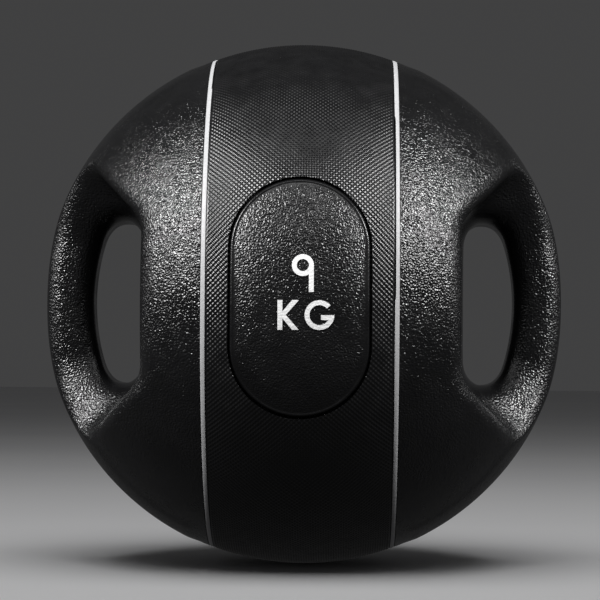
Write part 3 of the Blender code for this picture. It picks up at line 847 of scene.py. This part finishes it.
def make_camera():
    data = bpy.data.cameras.new("camera")
    data.sensor_width = 36
    data.lens = CAMERA_LENS * 1000
    data.clip_end = 50
    data.shift_x = CAMERA_SIDEWAYS
    data.shift_y = CAMERA_UP
    camera = bpy.data.objects.new("camera", data)
    bpy.context.scene.collection.objects.link(camera)
    back = Vector((
        math.sin(CAMERA_AZIMUTH) * math.cos(CAMERA_ELEVATION),
        -math.cos(CAMERA_AZIMUTH) * math.cos(CAMERA_ELEVATION),
        math.sin(CAMERA_ELEVATION),
    ))
    turn = back.to_track_quat("Z", "Y").to_matrix().to_4x4()
    camera.matrix_world = (
        Matrix.Translation(CENTRE + back * CAMERA_DISTANCE) @ turn @ Matrix.Rotation(CAMERA_ROLL, 4, "Z")
    )
    bpy.context.scene.camera = camera


def soft_box(name, azimuth, elevation, size, power):
    """A rectangular lamp aimed at the ball, at angles in degrees from the front and from level."""
    data = bpy.data.lights.new(name, "AREA")
    data.shape = "RECTANGLE"
    data.size, data.size_y = size
    data.energy = power
    light = bpy.data.objects.new(name, data)
    bpy.context.scene.collection.objects.link(light)
    around, above = math.radians(azimuth), math.radians(elevation)
    level = math.cos(above)
    away = Vector((math.sin(around) * level, -math.cos(around) * level, math.sin(above)))
    light.location = CENTRE + away * BOX_DISTANCE
    light.rotation_euler = away.to_track_quat("Z", "Y").to_euler()
    return light


def link_floor(name, floor, state, lights):
    """These lamps light only the floor (INCLUDE) or everything but the floor (EXCLUDE)."""
    linked = bpy.data.collections.new(name)
    linked.objects.link(floor)
    linked.collection_objects[0].light_linking.link_state = state
    for light in lights:
        light.light_linking.receiver_collection = linked


def make_floor():
    look = Look("pale_floor", 0.75, 0.2)
    look.colours(look.noise(0.6, 3.0), ((0.3, (0.76, 0.76, 0.77)), (0.7, (0.80, 0.80, 0.805))))
    reach = 12.0
    corners = [(-reach, -reach, 0), (reach, -reach, 0), (reach, reach, 0), (-reach, reach, 0)]
    floor = mesh_object("floor", corners, [(0, 1, 2, 3)])
    floor.data.materials.append(look.material)
    floor.visible_diffuse = False
    floor.visible_glossy = False
    return floor


def make_world():
    world = bpy.data.worlds.new("studio")
    world.use_nodes = True
    sky = world.node_tree.nodes["Background"]
    sky.inputs["Color"].default_value = (0.80, 0.80, 0.81, 1)
    sky.inputs["Strength"].default_value = 0.065
    bpy.context.scene.world = world


def make_studio():
    make_camera()
    make_world()
    boxes = [
        soft_box("left_box", -56, 34, (0.7, 0.45), 46),
        soft_box("right_box", 60, 33, (0.7, 0.45), 41),
        soft_box("left_side_box", -88, 18, (0.4, 0.6), 5),
        soft_box("right_side_box", 92, 18, (0.4, 0.6), 4),
        soft_box("top_box", 0, 55, (0.9, 0.4), 5),
    ]
    floor = make_floor()
    link_floor("lit_by_the_others", floor, "EXCLUDE", boxes)
    link_floor("lit_by_the_floor_box", floor, "INCLUDE", [soft_box("floor_box", 0, 75, (1.6, 1.6), 20)])
    bpy.context.scene.view_settings.view_transform = "Standard"


# ---------------------------------------------------------------- the ball
def main():
    make_studio()
    cover_look = pebbled_rubber("cover_rubber", (0.004, 0.004, 0.0043), 0.23, 0.00105, 0.00033)
    badge_look = pebbled_rubber("badge_rubber", (0.004, 0.004, 0.0043), 0.26, 0.00100, 0.00032)
    band_look = knurled_rubber("band_rubber", (0.004, 0.004, 0.0043), 0.28)
    stripe_look = painted("stripe_paint", (0.38, 0.38, 0.385), 0.45, 0.0010, 0.00006, 0.0009)
    mark_look = painted("mark_paint", (0.68, 0.68, 0.68), 0.55, 0.0012, 0.00016, 0.0007)
    make_side_covers(cover_look)
    make_centre_band(band_look)
    make_badge("front_plate", -1, badge_look, ["front_badge"])
    make_badge("rear_plate", 1, badge_look, ["rear_badge"])
    for prefix, side in (("left", -1), ("right", 1)):
        make_stripe(prefix, side, stripe_look)
    for make_one in (make_numeral, make_letter_k, make_letter_g):
        make_one(mark_look)
    make_valve(
        smooth_polymer("valve_rubber", (0.035, 0.035, 0.036), 0.5),
        smooth_polymer("plug_rubber", (0.22, 0.22, 0.22), 0.5, 1.1),
    )
    dress_hidden_nodes()


main()
